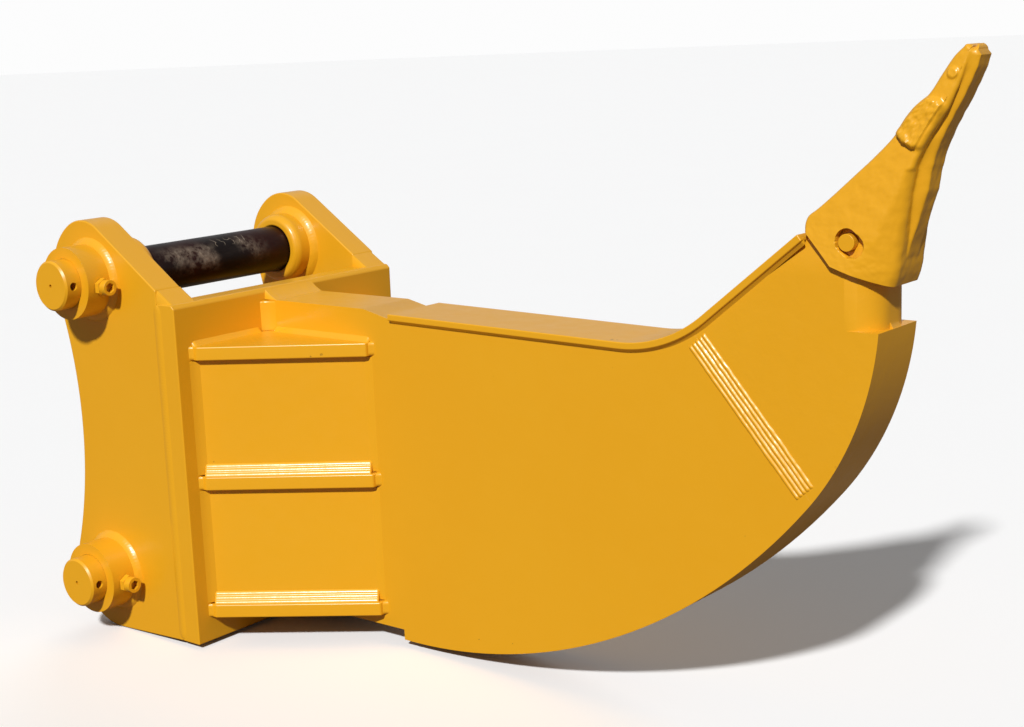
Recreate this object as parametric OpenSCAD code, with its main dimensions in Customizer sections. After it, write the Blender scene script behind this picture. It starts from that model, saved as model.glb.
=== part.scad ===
// Excavator ripper: two ears with linkage pins, a base plate, a curved
// shank with a cast nose, and a replaceable tooth.
// Origin: centre of the lower linkage pin at the mid-plane.
// +X runs toward the shank, +Y along the pins, +Z up.

/* [Linkage] */
// Distance between the two pin centres
pin_centres = 490; // [470:1:520]
// Upper pin centre, ahead of the lower pin
upper_pin_x = 3; // [0:1:6]
// Pin diameter
pin_d = 80; // [75:1:84]
// Clearance round a pin in its bores, on the radius
pin_clear = 0.3; // [0.2:0.05:0.5]
// Gap between the inner bosses, for the stick or link
stick_gap = 310; // [290:2:330]
// Length of pin past the retaining collar
stub_len = 29; // [20:1:35]
// Length of pin past the far ear
far_stub = 26; // [15:1:35]
// Width of the grease seal groove just inside each inner boss
groove_w = 3; // [2:0.5:5]
// Depth of the grease seal groove
groove_depth = 1; // [0.5:0.5:2]

/* [Ears] */
// Width over the two ears
ears_w = 492; // [480:2:510]
// Ear plate thickness
ear_t = 50; // [44:1:56]
// Radius of the ear lobe round each pin
lobe_r = 99; // [92:1:104]
// Smaller radius that turns the upper lobe into the slope
crown_r = 69; // [62:1:76]
// Distance from the pin line to the narrowest point of the ear's outer edge
waist = 57; // [50:1:66]

/* [Bosses and collars] */
// Inner boss radius
boss_r = 60; // [56:1:64]
// Retaining collar radius
collar_r = 58; // [55:1:62]
// Retaining collar length
collar_len = 50; // [45:1:55]
// Keeper screw diameter
keeper_d = 16; // [14:1:18]
// Keeper screw head diameter
head_d = 25; // [22:1:28]
// Distance of the keeper screws below the pin centres
keeper_drop = 5; // [0:1:8]
// Jam nut width across flats
nut_af = 26; // [24:1:30]
// Jam nut thickness
nut_t = 9; // [7:1:12]

/* [Base plate] */
// Left face of the base plate
base_x = 160; // [155:1:165]
// Base plate thickness
base_t = 40; // [36:1:44]
// Bottom edge of the base plate
base_z0 = -92; // [-95:1:-90]
// Top edge of the base plate
base_z1 = 461; // [455:1:468]

/* [Shank] */
// Shank thickness
shank_t = 106; // [98:1:112]
// Height of the shank's top edge at the base plate
head_z = 443; // [438:1:446]
// Radius of the belly curve
belly_r = 922; // [915:1:930]
// Radius of the back curve near the tooth
back_r = 431; // [425:1:437]
// Cap plate thickness
cap_t = 10; // [8:0.5:12]
// Cap plate width
cap_w = 121; // [116:1:126]

/* [Gussets] */
// Rib thickness
rib_t = 22; // [18:1:25]
// Length of a rib along the shank
rib_x = 232; // [215:1:240]
// Reach of a rib from the mid-plane along the base plate
rib_y = 217; // [205:1:225]
// Side panel thickness
panel_t = 14; // [10:1:18]

/* [Tooth] */
// Width of the tooth across its skirt
skirt_w = 132; // [126:1:138]
// Width of the tooth at its tip
tip_w = 38; // [34:1:44]
// Diameter of the tooth pin
tooth_pin_d = 22; // [18:1:24]
// Height of the raised cast pad
pad_h = 8; // [4:0.5:9]

/* [Hidden] */

paint = [0.88, 0.62, 0.12];
steel = [0.16, 0.13, 0.12];
$fn = 96;

pin_r = pin_d / 2;
bore_r = pin_r + pin_clear;
upper = [upper_pin_x, pin_centres];
lower = [0, 0];
ear_out = ears_w / 2;
ear_in = ear_out - ear_t;
boss_face = stick_gap / 2;
collar_face = ear_out + collar_len;
pin_near = collar_face + stub_len;
pin_far = ear_out + far_stub;
base_right = base_x + base_t;
half_t = shank_t / 2;

// upper lobe: the crown circle meets the lobe circle at crown_a
crown_a = 120;
crown = upper + (lobe_r - crown_r) * [cos(crown_a), sin(crown_a)];
slope_end = [base_x, base_z1 + 21];

// concave outer edge, tangent to both lobes
pin_span = norm(upper - lower);
waist_r = (pow(pin_span / 2, 2) + pow(waist, 2) - pow(lobe_r, 2))
          / (2 * (lobe_r - waist));
outward = [-(upper - lower)[1], (upper - lower)[0]] / pin_span;
waist_c = (upper + lower) / 2 + (waist_r + waist) * outward;

// belly and back arcs of the shank, tangent at join_a
belly_c = [490, base_z0 + 4 + belly_r];
join_a = -40.4;
back_c = belly_c + (belly_r - back_r) * [cos(join_a), sin(join_a)];
heel_x = 470;
under_z = -71;
ledge_z = 476;
neck_x = 1288;

// underside of the cap plate: a flat run, a bend, then a rise to the tooth
cap_start = [476, 430];
rise_a = 38.5;
flat_a = -0.8;
bend_r = 224;
bend_p = [984.5, 422.9];
cap_end = [1191, 587.2];
arc_step = 1.5;

// weld joint between the shank and the nose
joint_top = 1024;
joint_low = [1203, 244];

// levels of the ribs' undersides
rib_top_z = 370;
rib_mid_z = 160;
rib_low_z = -52;
panel_in = 6;

// tooth levels
skirt_z = 532;
tip_z = 828;
nose_tip_z = 684;
nose_tip_w = 60;
pin_at = [1251, 587];
recess_r = 15.5;
recess_run = 11;
recess_a = -38;
recess_deep = 10;
fit_gap = 0.4;

keeper_y = -(ear_out + collar_len / 2);
keeper_out = 80;
nut_face = collar_r + 0.5;
tip_gap = 1;
stub_hole_r = 6.5;

function arc(c, r, a0, a1) =
  let (n = max(2, ceil(abs(a1 - a0) / arc_step)))
  [for (i = [0:n]) c + r * [cos(a0 + (a1 - a0) * i / n), sin(a0 + (a1 - a0) * i / n)]];
function angle_to(a, b) = atan2(b[1] - a[1], b[0] - a[0]);
// touching point on a circle of the tangent line from point p
function touch(c, r, p, side) =
  let (a = angle_to(c, p) + side * acos(r / norm(p - c)))
  c + r * [cos(a), sin(a)];
function unit(a) = [cos(a), sin(a)];
// underside of the cap plate, moved out by d
function cap_line(d) =
  let (c = bend_p + bend_r / cos((rise_a - flat_a) / 2) * unit((rise_a + flat_a) / 2 + 90))
  concat([cap_start + d * unit(flat_a + 90)],
         arc(c, bend_r - d, flat_a - 90, rise_a - 90),
         [cap_end + d * unit(rise_a + 90)]);
function part_before(pts, x) = [for (p = pts) if (p[0] < x) p];
function part_after(pts, x) = [for (p = pts) if (p[0] > x) p];

// places a 2D outline in X and Z, extruded along Y from y0 to y1
module side(y0, y1) {
  translate([0, y1, 0]) rotate([90, 0, 0]) linear_extrude(y1 - y0) children();
}

// a solid round bar along Y
module bar(p, r, y0, y1) {
  translate([p[0], y0, p[1]]) rotate([-90, 0, 0]) cylinder(r = r, h = y1 - y0);
}

// outline of an ear plate
module ear_outline() {
  low_touch = touch(lower, lobe_r, [base_x, base_z0], -1);
  top_touch = touch(crown, crown_r, slope_end, 1);
  difference() {
    union() {
      translate(lower) circle(lobe_r);
      translate(crown) circle(crown_r);
      intersection() {
        translate(upper) circle(lobe_r);
        polygon([upper, upper + 2 * lobe_r * unit(crown_a),
                 upper + 2 * lobe_r * unit(160), upper + 2 * lobe_r * unit(210)]);
      }
      polygon([lower + lobe_r * unit(angle_to(lower, waist_c)), lower, low_touch,
               [base_x, base_z0], slope_end, top_touch, crown, upper,
               upper + lobe_r * unit(angle_to(upper, waist_c))]);
    }
    translate(waist_c) circle(waist_r, $fn = 720);
  }
}

module ear(y0) {
  color(paint)
  difference() {
    side(y0, y0 + ear_t) ear_outline();
    for (p = [lower, upper]) bar(p, bore_r, y0 - 1, y0 + ear_t + 1);
  }
}
module ear_near() ear(-ear_out);
module ear_far() ear(ear_in);

// inner boss on the ear at side_y, with its free edge turned down to a taper
module boss(p, side_y) {
  edge_len = 9;
  edge_r = boss_r - 7;
  near = side_y < 0;
  color(paint)
  difference() {
    union() {
      bar(p, boss_r, near ? -ear_in : boss_face + edge_len, near ? -boss_face - edge_len : ear_in);
      translate([p[0], near ? -boss_face - edge_len : boss_face, p[1]]) rotate([-90, 0, 0])
        cylinder(r1 = near ? boss_r : edge_r, r2 = near ? edge_r : boss_r, h = edge_len);
    }
    bar(p, bore_r, near ? -ear_in - 1 : boss_face - 1, near ? -boss_face + 1 : ear_in + 1);
  }
}
module boss_upper_near() boss(upper, -1);
module boss_upper_far() boss(upper, 1);
module boss_lower_near() boss(lower, -1);
module boss_lower_far() boss(lower, 1);

// retaining collar with its cross hole for the keeper screw
module collar(p) {
  color(paint)
  difference() {
    bar(p, collar_r, -collar_face, -ear_out);
    bar(p, bore_r, -collar_face - 1, -ear_out + 1);
    translate([p[0], keeper_y, p[1] - keeper_drop]) rotate([0, 90, 0])
      cylinder(d = keeper_d + 2 * pin_clear, h = collar_r + 5);
  }
}
module collar_upper() collar(upper);
module collar_lower() collar(lower);

// linkage pin with chamfered ends, a centre mark, a cross hole, and a seal
// groove at each end of its bare length
module linkage_pin(p) {
  cut = 3;
  color(steel)
  difference() {
    union() {
      bar(p, pin_r, -pin_near + cut, pin_far - cut);
      translate([p[0], -pin_near, p[1]]) rotate([-90, 0, 0])
        cylinder(r1 = pin_r - cut, r2 = pin_r, h = cut);
      translate([p[0], pin_far - cut, p[1]]) rotate([-90, 0, 0])
        cylinder(r1 = pin_r, r2 = pin_r - cut, h = cut);
    }
    translate([p[0], -pin_near + stub_len / 2, p[1]]) rotate([0, 90, 0])
      cylinder(r = stub_hole_r, h = 2 * pin_d, center = true);
    bar(p, 3, -pin_near - 1, -pin_near + 4);
    for (y = [-boss_face - groove_w, boss_face])
      difference() {
        bar(p, pin_r + 1, y, y + groove_w);
        bar(p, pin_r - groove_depth, y - 1, y + groove_w + 1);
      }
  }
}
module upper_pin() linkage_pin(upper);
module lower_pin() linkage_pin(lower);

module keeper_screw(p) {
  socket_r = 8;
  socket_deep = 9;
  tip = pin_r + tip_gap;
  head = nut_face + nut_t;
  color(paint)
  difference() {
    union() {
      translate([p[0] + tip, keeper_y, p[1] - keeper_drop]) rotate([0, 90, 0])
        cylinder(d = keeper_d, h = head - tip + 1);
      translate([p[0] + head, keeper_y, p[1] - keeper_drop]) rotate([0, 90, 0])
        cylinder(d = head_d, h = keeper_out - head);
    }
    translate([p[0] + keeper_out - socket_deep, keeper_y, p[1] - keeper_drop])
      rotate([0, 90, 0]) cylinder(r = socket_r, h = socket_deep + 1, $fn = 6);
  }
}
module keeper_screw_upper() keeper_screw(upper);
module keeper_screw_lower() keeper_screw(lower);

module keeper_nut(p) {
  color(paint)
  difference() {
    translate([p[0] + nut_face, keeper_y, p[1] - keeper_drop]) rotate([0, 90, 0])
      cylinder(d = nut_af / cos(30), h = nut_t, $fn = 6);
    translate([p[0] + nut_face - 1, keeper_y, p[1] - keeper_drop]) rotate([0, 90, 0])
      cylinder(d = keeper_d, h = nut_t + 2);
  }
}
module keeper_nut_upper() keeper_nut(upper);
module keeper_nut_lower() keeper_nut(lower);

module base_plate() {
  cut = 6;
  color(paint)
  side(-ear_out, ear_out)
    polygon([[base_x, base_z0], [base_right, base_z0], [base_right, base_z1 - cut],
             [base_right - cut, base_z1], [base_x, base_z1]]);
}

module shank() {
  top = cap_line(0);
  heel_a = angle_to(belly_c, [heel_x, base_z0]);
  color(paint)
  side(-half_t, half_t)
    polygon(concat([[base_right, under_z], [heel_x, under_z]],
                   arc(belly_c, belly_r, heel_a, join_a),
                   arc(back_c, back_r, join_a, joint_back_a()),
                   [[joint_top, cap_at(joint_top)]],
                   reversed(part_before(top, joint_top)),
                   [[418, head_z], [base_right, head_z]]));
}
function reversed(v) = [for (i = [len(v) - 1:-1:0]) v[i]];
// height of the cap's underside at x
function cap_at(x) = lookup(x, cap_line(0));
// angle on the back arc where the nose joint ends
function joint_back_a() = angle_to(back_c, joint_low);

// outline of the cast nose from the joint to its point inside the tooth
module nose_outline() {
  ledge_a = asin((ledge_z - back_c[1]) / back_r);
  polygon(concat(arc(back_c, back_r, joint_back_a(), ledge_a),
                 [[neck_x + 4, ledge_z], [neck_x, ledge_z + 8],
                  [neck_x, skirt_z], [1301, nose_tip_z], [1288, nose_tip_z],
                  [1216, 614], cap_end],
                 reversed(part_after(cap_line(0), joint_top)),
                 [[joint_top, cap_at(joint_top)]]));
}

// half-width of the nose against height, widened by d, as an outline in Y and Z
module nose_taper(d) {
  wide = half_t + d;
  thin = nose_tip_w / 2 + d;
  polygon([[-wide, 0], [wide, 0], [wide, skirt_z + 8], [thin, nose_tip_z],
           [thin, nose_tip_z + 5], [-thin, nose_tip_z + 5],
           [-thin, nose_tip_z], [-wide, skirt_z + 8]]);
}

// extrudes an outline in Y and Z along X
module across(x0, x1) {
  translate([x0, 0, 0]) rotate([90, 0, 90]) linear_extrude(x1 - x0) children();
}

// the nose, or with d the socket that fits over it
module nose_body(d) {
  round_r = 42;
  round_top = 620;
  difference() {
    intersection() {
      side(-half_t - d, half_t + d) nose_outline();
      across(900, 1400) nose_taper(d);
    }
    // rounded back corners of the neck above the ledge
    for (s = [-1, 1]) difference() {
      translate([neck_x - round_r, s > 0 ? half_t - round_r : -half_t - d - 1, ledge_z])
        cube([round_r + 30, round_r + d + 1, round_top - ledge_z]);
      translate([neck_x - round_r, s * (half_t - round_r), ledge_z - 1])
        cylinder(r = round_r + d, h = round_top - ledge_z + 2);
    }
  }
}

module nose() {
  color(paint)
  difference() {
    nose_body(0);
    bar(pin_at, tooth_pin_d / 2 + pin_clear, -half_t - 1, half_t + 1);
  }
}

module cap_plate() {
  color(paint)
  side(-cap_w / 2, cap_w / 2)
    polygon(concat(cap_line(0), reversed(cap_line(cap_t))));
}

// one triangular rib; side_y is -1 near, 1 far
module rib(z, side_y) {
  edge = 12;
  color(paint)
  translate([0, 0, z]) linear_extrude(rib_t)
    polygon([[base_right, side_y * half_t], [base_right + rib_x, side_y * half_t],
             [base_right + rib_x, side_y * (half_t + edge)],
             [base_right + edge, side_y * rib_y], [base_right, side_y * rib_y]]);
}
module rib_top_near() rib(rib_top_z, -1);
module rib_mid_near() rib(rib_mid_z, -1);
module rib_low_near() rib(rib_low_z, -1);
module rib_top_far() rib(rib_top_z, 1);
module rib_mid_far() rib(rib_mid_z, 1);
module rib_low_far() rib(rib_low_z, 1);

// side panel between two ribs, set in from their slanted edges
module panel(z0, z1, side_y) {
  foot = base_right;
  toe = base_right + rib_x;
  wide = rib_y - panel_in;
  run = toe - panel_in;
  color(paint)
  translate([0, 0, z0]) linear_extrude(z1 - z0)
    polygon([[foot, side_y * (wide - 1.2 * panel_t)], [foot, side_y * wide],
             [run, side_y * half_t], [run - 1.7 * panel_t, side_y * half_t]]);
}
module panel_upper_near() panel(rib_mid_z + rib_t, rib_top_z, -1);
module panel_lower_near() panel(rib_low_z + rib_t, rib_mid_z, -1);
module panel_upper_far() panel(rib_mid_z + rib_t, rib_top_z, 1);
module panel_lower_far() panel(rib_low_z + rib_t, rib_mid_z, 1);

// tooth outline without its back spine
module tooth_outline() {
  polygon([[1192, 599], [1231, 557], [1290, 537], [1304, skirt_z], [1310, 547],
           [1315, 591], [1322, 630], [1331, 680], [1343, 706], [1374, 757],
           [1396, 812], [1396, 824], [1386, 823], [1371, 809], [1344, 765],
           [1323, 747], [1303, 715], [1278, 690], [1209, 627], [1194, 617]]);
}

// back spine of the tooth, standing out behind the outline
module spine_outline() {
  polygon([[1300, 560], [1311, 565], [1317, 585], [1321, 600], [1327, 612], [1334, 634],
           [1340, 650], [1342, 669], [1345, 681], [1354, 708], [1373, 744],
           [1388, 771], [1398, 796], [1403, 811], [1402, 820], [1397, 827],
           [1386, 812], [1344, 740], [1310, 690]]);
}

// what is cut away where the sides of the skirt draw in toward its back
module skirt_corners() {
  lean = 9.3;
  back_at = [1309, 545];
  for (s = [-1, 1])
    translate([back_at[0], 0, back_at[1]]) rotate([0, lean, 0]) translate([0, 0, -60])
      linear_extrude(230)
        polygon([[-64, s * 66], [-26, s * 54], [0, s * 37], [40, s * 37],
                 [40, s * 90], [-64, s * 90]]);
}

// half-width of the tooth against height, widened by d
module tooth_taper(d) {
  polygon([[-skirt_w / 2 - d, skirt_z], [skirt_w / 2 + d, skirt_z],
           [tip_w / 2 + d, tip_z], [-tip_w / 2 - d, tip_z]]);
}

module pad_outline() {
  polygon([[1300, 722], [1309, 716], [1316, 709], [1328, 702], [1340, 700], [1347, 705],
           [1353, 719], [1358, 731], [1363, 743], [1366, 753], [1360, 760],
           [1344, 763], [1334, 762], [1320, 748]]);
}

module tooth() {
  spine_w = 36;
  button_at = [1373, 790];
  color(paint)
  difference() {
    union() {
      intersection() {
        side(-skirt_w, skirt_w) tooth_outline();
        across(1100, 1500) tooth_taper(0);
      }
      side(-spine_w / 2, spine_w / 2) spine_outline();
      intersection() {
        side(-skirt_w, skirt_w) pad_outline();
        across(1100, 1500) tooth_taper(pad_h);
      }
      intersection() {
        bar(button_at, 7, -skirt_w, skirt_w);
        across(1100, 1500) tooth_taper(2);
      }
    }
    skirt_corners();
    // socket for the nose
    nose_body(fit_gap);
    // oval recess over each end of the tooth pin
    for (s = [-1, 1]) side(s > 0 ? half_t - recess_deep : -skirt_w, s > 0 ? skirt_w : recess_deep - half_t)
      recess_outline();
  }
}

module recess_outline() {
  mid = pin_at + [4, -1];
  half = recess_run / 2 * unit(recess_a);
  across_d = recess_r * unit(recess_a + 90);
  translate(mid - half) circle(recess_r);
  translate(mid + half) circle(recess_r);
  polygon([mid - half + across_d, mid + half + across_d,
           mid + half - across_d, mid - half - across_d]);
}

module tooth_pin() {
  reach = 57;
  color(paint)
  bar(pin_at, tooth_pin_d / 2, -reach, reach);
}

ear_near();
ear_far();
base_plate();
collar_upper();
collar_lower();
boss_upper_near();
boss_upper_far();
boss_lower_near();
boss_lower_far();
upper_pin();
lower_pin();
keeper_screw_upper();
keeper_nut_upper();
keeper_screw_lower();
keeper_nut_lower();
shank();
nose();
cap_plate();
rib_top_near();
rib_mid_near();
rib_low_near();
rib_top_far();
rib_mid_far();
rib_low_far();
panel_upper_near();
panel_lower_near();
panel_upper_far();
panel_lower_far();
tooth();
tooth_pin();
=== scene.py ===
import math

import bmesh
import bpy
from bpy.props import FloatProperty, FloatVectorProperty, IntProperty, PointerProperty
from mathutils import Matrix, Vector, noise


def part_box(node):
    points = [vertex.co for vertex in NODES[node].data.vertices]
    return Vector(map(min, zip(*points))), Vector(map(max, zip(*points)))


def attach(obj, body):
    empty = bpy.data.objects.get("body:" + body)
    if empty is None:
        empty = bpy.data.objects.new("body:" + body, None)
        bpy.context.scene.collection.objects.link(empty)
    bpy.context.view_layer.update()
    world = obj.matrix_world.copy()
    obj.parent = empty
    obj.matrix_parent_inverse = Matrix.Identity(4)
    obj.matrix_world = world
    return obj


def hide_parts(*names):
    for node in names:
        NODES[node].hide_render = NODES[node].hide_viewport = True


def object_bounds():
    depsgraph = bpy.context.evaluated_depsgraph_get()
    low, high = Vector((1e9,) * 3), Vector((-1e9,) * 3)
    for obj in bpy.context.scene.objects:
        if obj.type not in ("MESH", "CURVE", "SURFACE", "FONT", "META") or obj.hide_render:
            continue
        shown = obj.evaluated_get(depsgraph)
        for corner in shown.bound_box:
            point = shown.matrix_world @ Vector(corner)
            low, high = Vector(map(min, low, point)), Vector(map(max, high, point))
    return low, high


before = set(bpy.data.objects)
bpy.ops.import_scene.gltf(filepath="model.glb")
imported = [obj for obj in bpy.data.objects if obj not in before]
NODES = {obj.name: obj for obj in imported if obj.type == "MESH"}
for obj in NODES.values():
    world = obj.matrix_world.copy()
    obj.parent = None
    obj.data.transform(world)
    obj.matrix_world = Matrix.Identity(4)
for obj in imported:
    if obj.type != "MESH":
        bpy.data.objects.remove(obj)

bl_info = {
    "name": "Excavator ripper",
    "version": (1, 0, 0),
    "blender": (4, 5, 0),
    "location": "3D View > Sidebar > Ripper",
    "description": "Paint, cast surfaces and weld beads for an excavator ripper",
    "category": "Object",
}

CAD_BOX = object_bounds()
MM = 0.001
PIN_NODES = ("upper_pin", "lower_pin")
CAST_NODES = ("nose",)


# ---------------------------------------------------------------- settings
class PaintSettings(bpy.types.PropertyGroup):
    colour: FloatVectorProperty(
        name="Paint", description="Machinery yellow", subtype="COLOR",
        size=3, min=0, max=1, default=(0.80, 0.380, 0.010))
    faded: FloatVectorProperty(
        name="Thin paint", description="Colour where the paint is thinner", subtype="COLOR",
        size=3, min=0, max=1, default=(0.81, 0.395, 0.012))
    # colour for the painted shade in inside corners, broken up by patchy dust, and for chips through
    # the paint
    shade_and_chip_colour: FloatVectorProperty(
        name="Grime", description="Colour of painted corner shade, patchy dust and chips", subtype="COLOR",
        size=3, min=0, max=1, default=(0.22, 0.10, 0.012))
    rough: FloatProperty(
        name="Roughness", description="Roughness of the enamel", subtype="FACTOR",
        min=0.1, max=0.9, default=0.36)
    peel: FloatProperty(
        name="Orange peel", description="Depth of the sprayed ripple", subtype="FACTOR",
        min=0, max=1, default=0.10)


class SteelSettings(bpy.types.PropertyGroup):
    colour: FloatVectorProperty(
        name="Steel", description="Dark hardened steel", subtype="COLOR",
        size=3, min=0, max=1, default=(0.014, 0.008, 0.007))
    rust: FloatVectorProperty(
        name="Red oxide", description="Tint of the oil-darkened oxide", subtype="COLOR",
        size=3, min=0, max=1, default=(0.040, 0.009, 0.007))
    chalk: FloatVectorProperty(
        name="Chalk", description="Rubbed chalk dust", subtype="COLOR",
        size=3, min=0, max=1, default=(0.42, 0.33, 0.24))


class WeldSettings(bpy.types.PropertyGroup):
    ripple: FloatProperty(
        name="Ripple pitch", description="Distance between ripples of a bead",
        unit="LENGTH", min=0.001, max=0.02, default=0.0048)
    ripple_depth: FloatProperty(
        name="Ripple depth", description="Height of the ripples",
        unit="LENGTH", min=0, max=0.003, default=0.00028)
    strip_w: FloatProperty(
        name="Nose seam width", description="Width of the wide seam on the shank",
        unit="LENGTH", min=0.01, max=0.06, default=0.034)


class ToothSettings(bpy.types.PropertyGroup):
    rows: IntProperty(
        name="Rows", description="Rows of faces from skirt to tip",
        min=40, max=300, default=150)
    pad: FloatProperty(
        name="Pad height", description="Height of the cast pad on each side",
        unit="LENGTH", min=0, max=0.02, default=0.008)
    rough_skin: FloatProperty(
        name="Cast skin", description="Depth of the rough casting skin",
        unit="LENGTH", min=0, max=0.003, default=0.0006)


class StageSettings(bpy.types.PropertyGroup):
    floor: FloatVectorProperty(
        name="Floor", description="Colour of the floor", subtype="COLOR",
        size=3, min=0, max=1, default=(0.97, 0.97, 0.97))
    bounce: FloatProperty(
        name="Bounce", description="How much light the floor throws back up", subtype="FACTOR",
        min=0, max=1, default=0.20)
    key: FloatProperty(
        name="Key light", description="Strength of the main lamp",
        min=0, max=20, default=3.6)
    back: FloatProperty(
        name="Back light", description="Strength of the lamp behind the ears",
        min=0, max=20, default=0.8)
    softness: FloatProperty(
        name="Softness", description="Angle that the main lamp fills, seen from the object",
        unit="ROTATION", min=0.01, max=1.0, default=math.radians(3.5))
    sky: FloatProperty(
        name="Fill", description="Strength of the even light from all round",
        min=0, max=3, default=0.14)


# ---------------------------------------------------------------- node tools
def link(tree, a, b):
    tree.links.new(a, b)


def add(tree, kind, **values):
    n = tree.nodes.new(kind)
    for k, v in values.items():
        if hasattr(n, k):
            setattr(n, k, v)
        else:
            n.inputs[k.replace("_", " ")].default_value = v
    return n


def group(name, inputs, outputs):
    g = bpy.data.node_groups.new(name, "ShaderNodeTree")
    for label, kind, default in inputs:
        s = g.interface.new_socket(label, in_out="INPUT", socket_type=kind)
        s.default_value = default
    for label, kind in outputs:
        g.interface.new_socket(label, in_out="OUTPUT", socket_type=kind)
    return g, g.nodes.new("NodeGroupInput"), g.nodes.new("NodeGroupOutput")


def ramp(tree, fac, low, high, soft=False):
    """A mask that goes from 0 at low to 1 at high."""
    m = add(tree, "ShaderNodeMapRange", clamp=True)
    m.interpolation_type = "SMOOTHSTEP" if soft else "LINEAR"
    m.inputs["From Min"].default_value = low
    m.inputs["From Max"].default_value = high
    link(tree, fac, m.inputs["Value"])
    return m.outputs["Result"]


def maths(tree, op, a, b=None):
    m = add(tree, "ShaderNodeMath", operation=op)
    for i, v in enumerate((a, b)):
        if v is None:
            continue
        if isinstance(v, (int, float)):
            m.inputs[i].default_value = v
        else:
            link(tree, v, m.inputs[i])
    return m.outputs[0]


def mix(tree, fac, a, b):
    m = add(tree, "ShaderNodeMix", data_type="RGBA")
    for s, v in ((m.inputs[0], fac), (m.inputs[6], a), (m.inputs[7], b)):
        if isinstance(v, (int, float)):
            s.default_value = v
        elif isinstance(v, (tuple, list)):
            s.default_value = (*v[:3], 1)
        else:
            link(tree, v, s)
    return m.outputs[2]


def texture(tree, where, scale, detail=2.0, rough=0.5):
    t = tree.nodes.new("ShaderNodeTexNoise")
    link(tree, where, t.inputs["Vector"])
    t.inputs["Scale"].default_value = scale
    t.inputs["Detail"].default_value = detail
    t.inputs["Roughness"].default_value = rough
    return t.outputs["Fac"]


def enamel_group():
    """Sprayed enamel: slow changes of tone, painted shade with patchy dust in inside corners, a few
    chips.
    """
    g, gi, go = group(
        "sprayed_enamel",
        [("Paint", "NodeSocketColor", (1, 1, 1, 1)), ("Thin", "NodeSocketColor", (1, 1, 1, 1)),
         ("Grime", "NodeSocketColor", (0, 0, 0, 1)), ("Chips", "NodeSocketFloat", 0.0),
         ("Roughness", "NodeSocketFloat", 0.4), ("Peel", "NodeSocketFloat", 0.1)],
        [("Color", "NodeSocketColor"), ("Roughness", "NodeSocketFloat"),
         ("Height", "NodeSocketFloat")])
    at = add(g, "ShaderNodeTexCoord").outputs["Object"]
    slow = ramp(g, texture(g, at, 4.5, 3), 0.35, 0.7, True)
    fine = texture(g, at, 42, 4, 0.6)
    tone = maths(g, "MULTIPLY", slow, 0.55)
    tone = maths(g, "ADD", tone, maths(g, "MULTIPLY", fine, 0.25))
    colour = mix(g, tone, gi.outputs["Paint"], gi.outputs["Thin"])
    # painted shade: darker inside corners, taken from ambient occlusion and broken up by patchy dust
    ao = add(g, "ShaderNodeAmbientOcclusion", samples=6, only_local=False)
    ao.inputs["Distance"].default_value = 0.014
    ao_shade = maths(g, "SUBTRACT", 1.0, ao.outputs["AO"])
    patchy = ramp(g, texture(g, at, 70, 3), 0.3, 0.75)
    amount = maths(g, "ADD", maths(g, "MULTIPLY", patchy, 0.5), 0.15)
    # how much painted corner shade, with patchy dust, lies at each point
    held = maths(g, "MULTIPLY", ramp(g, ao_shade, 0.35, 0.95, True), amount)
    colour = mix(g, held, colour, gi.outputs["Grime"])
    # small chips through the paint
    spots = texture(g, at, 95, 1)
    where = ramp(g, texture(g, at, 9, 2), 0.62, 0.70)
    chip = maths(g, "MULTIPLY", ramp(g, spots, 0.735, 0.75), where)
    chip = maths(g, "MULTIPLY", chip, gi.outputs["Chips"])
    colour = mix(g, chip, colour, gi.outputs["Grime"])
    link(g, colour, go.inputs["Color"])
    mottle = maths(g, "MULTIPLY", maths(g, "SUBTRACT", fine, 0.5), 0.22)
    r = maths(g, "ADD", gi.outputs["Roughness"], mottle)
    r = maths(g, "ADD", r, maths(g, "MULTIPLY", held, 0.3))
    link(g, r, go.inputs["Roughness"])
    peel = texture(g, at, 420, 2, 0.5)
    wave = texture(g, at, 55, 2, 0.4)
    h = maths(g, "ADD", maths(g, "MULTIPLY", peel, 0.35), maths(g, "MULTIPLY", wave, 1.0))
    h = maths(g, "MULTIPLY", h, gi.outputs["Peel"])
    h = maths(g, "SUBTRACT", h, maths(g, "MULTIPLY", chip, 0.15))
    link(g, h, go.inputs["Height"])
    return g


def casting_group():
    """Height of a sand-cast skin under paint."""
    g, gi, go = group("cast_skin", [("Strength", "NodeSocketFloat", 1.0)],
                      [("Height", "NodeSocketFloat")])
    at = add(g, "ShaderNodeTexCoord").outputs["Object"]
    grain = texture(g, at, 260, 4, 0.65)
    lumps = texture(g, at, 48, 3, 0.5)
    h = maths(g, "ADD", maths(g, "MULTIPLY", grain, 0.35), lumps)
    link(g, maths(g, "MULTIPLY", h, gi.outputs["Strength"]), go.inputs["Height"])
    return g


def place(tree, g, **values):
    n = tree.nodes.new("ShaderNodeGroup")
    n.node_tree = g
    for k, v in values.items():
        s = n.inputs[k]
        s.default_value = (*v, 1) if isinstance(v, (tuple, list)) else v
    return n


def new_material(name):
    m = bpy.data.materials.new(name)
    m.use_nodes = True
    return m, m.node_tree, m.node_tree.nodes["Principled BSDF"]


def bump(tree, shader, height, distance):
    b = add(tree, "ShaderNodeBump")
    b.inputs["Strength"].default_value = 1.0
    b.inputs["Distance"].default_value = distance
    link(tree, height, b.inputs["Height"])
    link(tree, b.outputs["Normal"], shader.inputs["Normal"])


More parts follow.
